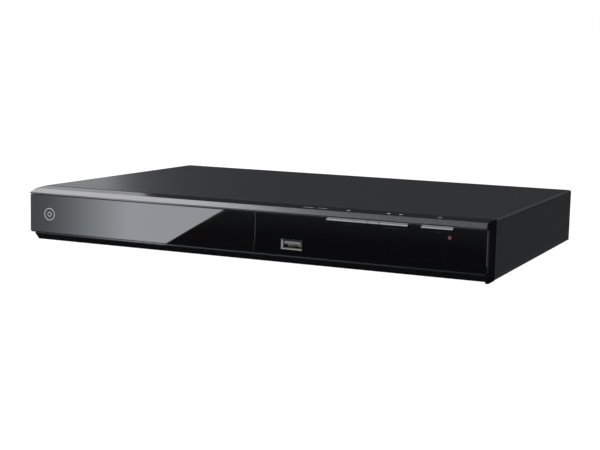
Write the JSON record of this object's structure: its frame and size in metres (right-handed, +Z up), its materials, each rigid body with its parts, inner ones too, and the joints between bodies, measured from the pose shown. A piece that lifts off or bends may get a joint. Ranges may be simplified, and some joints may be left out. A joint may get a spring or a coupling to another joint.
{
  "type": "disc player",
  "caption": "Slim black disc player with a sliding motor-driven tray, a glossy front, bar keys and a front data port.",
  "frame": {"origin": "under the middle of the bounding box, on the surface that the feet stand on", "axes": "+Z up, the front faces -Y, +X to the right seen from the front"},
  "size_m": [0.312, 0.2188, 0.0385],
  "materials": {
    "cover_paint": "fine satin black powder coat on sheet steel",
    "zinc_steel": "zinc-plated sheet steel, soft rolled grain",
    "foot_rubber": "matt black rubber",
    "bezel_black": "black moulded plastic with a fine satin grain",
    "trim_gunmetal": "gunmetal satin lacquer over plastic",
    "window_black": "mirror-gloss black acrylic",
    "tray_front_black": "mirror-gloss black acrylic",
    "tray_black": "black moulded plastic, fine texture",
    "key_silver": "satin silver-grey lacquer",
    "light_red": "clear red moulded lens, lit dimly",
    "board_green": "green solder mask",
    "board_tan": "tan paper-phenolic board",
    "part_black": "black moulded epoxy",
    "heat_sink_aluminium": "plain extruded aluminium",
    "capacitor_sleeve": "dark blue shrink sleeve",
    "socket_shell": "tin-plated steel shell",
    "jack_body": "black moulded body with plated rings",
    "inlet_black": "black moulded plastic",
    "transformer_tape": "ferrite core in yellow tape",
    "fuse_glass": "glass tube with plated caps",
    "insulation_film": "milky insulating film",
    "ribbon_white": "white flat cable",
    "wire_red": "PVC-covered wire",
    "connector_cream": "cream nylon",
    "loader_black": "black moulded plastic",
    "deck_grey": "dark grey moulded plastic",
    "rod_steel": "ground steel",
    "motor_can": "drawn plated steel can",
    "sled_zinc": "die-cast zinc, blackened",
    "lens_glass": "coated objective lens in its holder",
    "gear_acetal": "natural white acetal",
    "brass_small": "turned brass",
    "belt_black": "square rubber belt",
    "screw_black": "black zinc screws",
    "screw_steel": "zinc-plated screws"
  },
  "bodies": {
    "case": {"top_cover": "cover_paint", "bottom_chassis": "zinc_steel", "rear_panel": "zinc_steel", "rubber_feet": "foot_rubber", "front_bezel": "bezel_black", "chamfer_trim": "trim_gunmetal", "front_window": "window_black", "key_spacer": "key_silver", "standby_light": "light_red", "front_board": "board_green", "tact_switches": "part_black", "remote_receiver": "part_black", "usb_socket": "socket_shell", "main_board": "board_green", "main_chips": "part_black", "processor_heat_sink": "heat_sink_aluminium", "board_capacitors": "capacitor_sleeve", "hdmi_socket": "socket_shell", "av_jacks": "jack_body", "power_board": "board_tan", "power_transformer": "transformer_tape", "bulk_capacitors": "capacitor_sleeve", "mains_fuse": "fuse_glass", "regulator_heat_sink": "heat_sink_aluminium", "mains_inlet": "inlet_black", "insulation_sheet": "insulation_film", "front_ribbon": "ribbon_white", "power_harness": "wire_red", "loader_ribbon": "ribbon_white", "ribbon_connectors": "connector_cream", "loader_frame": "loader_black", "clamper_bridge": "zinc_steel", "loading_motor": "motor_can", "drive_belt": "belt_black", "cover_screws": "screw_black", "loader_screws": "screw_steel", "bridge_screws": "screw_steel", "board_screws": "screw_steel"},
    "tray": {"disc_tray": "tray_black", "tray_front": "tray_front_black"},
    "tray_gear": {"tray_gear": "gear_acetal"},
    "pulley_gear": {"pulley_gear": "gear_acetal"},
    "motor_pulley": {"motor_pulley": "brass_small"},
    "deck": {"traverse_deck": "deck_grey", "guide_rods": "rod_steel", "spindle_motor": "motor_can", "sled_motor": "motor_can"},
    "turntable": {"turntable": "loader_black"},
    "clamper": {"disc_clamper": "gear_acetal"},
    "cam_slider": {"cam_slider": "gear_acetal"},
    "sled": {"pickup_sled": "sled_zinc", "pickup_lens": "lens_glass"},
    "sled_gear": {"sled_gear": "gear_acetal"},
    "sled_pinion": {"sled_pinion": "brass_small"},
    "open_key": {"open_key": "key_silver"},
    "power_key": {"power_key": "key_silver"},
    "rocker": {"stop_play_rocker": "key_silver"}
  },
  "joints": [
    {"name": "tray_slide", "type": "slide", "parent": "case", "child": "tray", "axis": [0, -1, 0], "range_m": [0, 0.135]},
    {"name": "tray_gear_spin", "type": "hinge", "parent": "case", "child": "tray_gear", "pos_m": [-0.12075, -0.07965, 0.015], "axis": [0, 0, 1], "continuous": true},
    {"name": "pulley_gear_spin", "type": "hinge", "parent": "case", "child": "pulley_gear", "pos_m": [-0.10315, -0.07965, 0.012], "axis": [0, 0, 1], "continuous": true},
    {"name": "loading_motor_spin", "type": "hinge", "parent": "case", "child": "motor_pulley", "pos_m": [-0.06515, -0.07965, 0.012], "axis": [0, 0, 1], "continuous": true},
    {"name": "deck_tilt", "type": "hinge", "parent": "case", "child": "deck", "pos_m": [-0.07325, 0.05435, 0.012], "axis": [1, 0, 0], "range_deg": [0, 2.6]},
    {"name": "cam_slide", "type": "slide", "parent": "case", "child": "cam_slider", "axis": [1, 0, 0], "range_m": [0, 0.014]},
    {"name": "turntable_spin", "type": "hinge", "parent": "deck", "child": "turntable", "pos_m": [-0.07325, -0.03765, 0.0229], "axis": [0, 0, 1], "continuous": true},
    {"name": "clamper_spin", "type": "hinge", "parent": "case", "child": "clamper", "pos_m": [-0.07325, -0.03765, 0.03], "axis": [0, 0, 1], "continuous": true},
    {"name": "sled_slide", "type": "slide", "parent": "deck", "child": "sled", "axis": [0, 1, 0], "range_m": [0, 0.034]},
    {"name": "sled_gear_spin", "type": "hinge", "parent": "deck", "child": "sled_gear", "pos_m": [-0.03165, 0.01035, 0.015], "axis": [0, 0, 1], "continuous": true},
    {"name": "sled_motor_spin", "type": "hinge", "parent": "deck", "child": "sled_pinion", "pos_m": [-0.03165, 0.02185, 0.014], "axis": [0, 0, 1], "continuous": true},
    {"name": "open_key_press", "type": "slide", "parent": "case", "child": "open_key", "axis": [0, 1, 0], "range_m": [0, 0.0005], "stiffness_N_per_m": 4000},
    {"name": "stop_play_rock", "type": "hinge", "parent": "case", "child": "rocker", "pos_m": [0.0997, -0.10305, 0.031], "axis": [0, 0, 1], "range_deg": [-1.8, 1.8], "stiffness_Nm_per_rad": 0.24},
    {"name": "power_key_press", "type": "slide", "parent": "case", "child": "power_key", "axis": [0, 1, 0], "range_m": [0, 0.0005], "stiffness_N_per_m": 4000}
  ],
  "couplings": [
    {"joint": "tray_gear_spin", "follows": "tray_slide", "rad_per_m": 111.11},
    {"joint": "pulley_gear_spin", "follows": "tray_slide", "rad_per_m": -296.3},
    {"joint": "loading_motor_spin", "follows": "tray_slide", "rad_per_m": -1074.1},
    {"joint": "cam_slide", "follows": "deck_tilt", "m_per_rad": 0.30852},
    {"joint": "clamper_spin", "follows": "turntable_spin", "ratio": 1},
    {"joint": "sled_gear_spin", "follows": "sled_slide", "rad_per_m": -277.78},
    {"joint": "sled_motor_spin", "follows": "sled_slide", "rad_per_m": 1000}
  ]
}
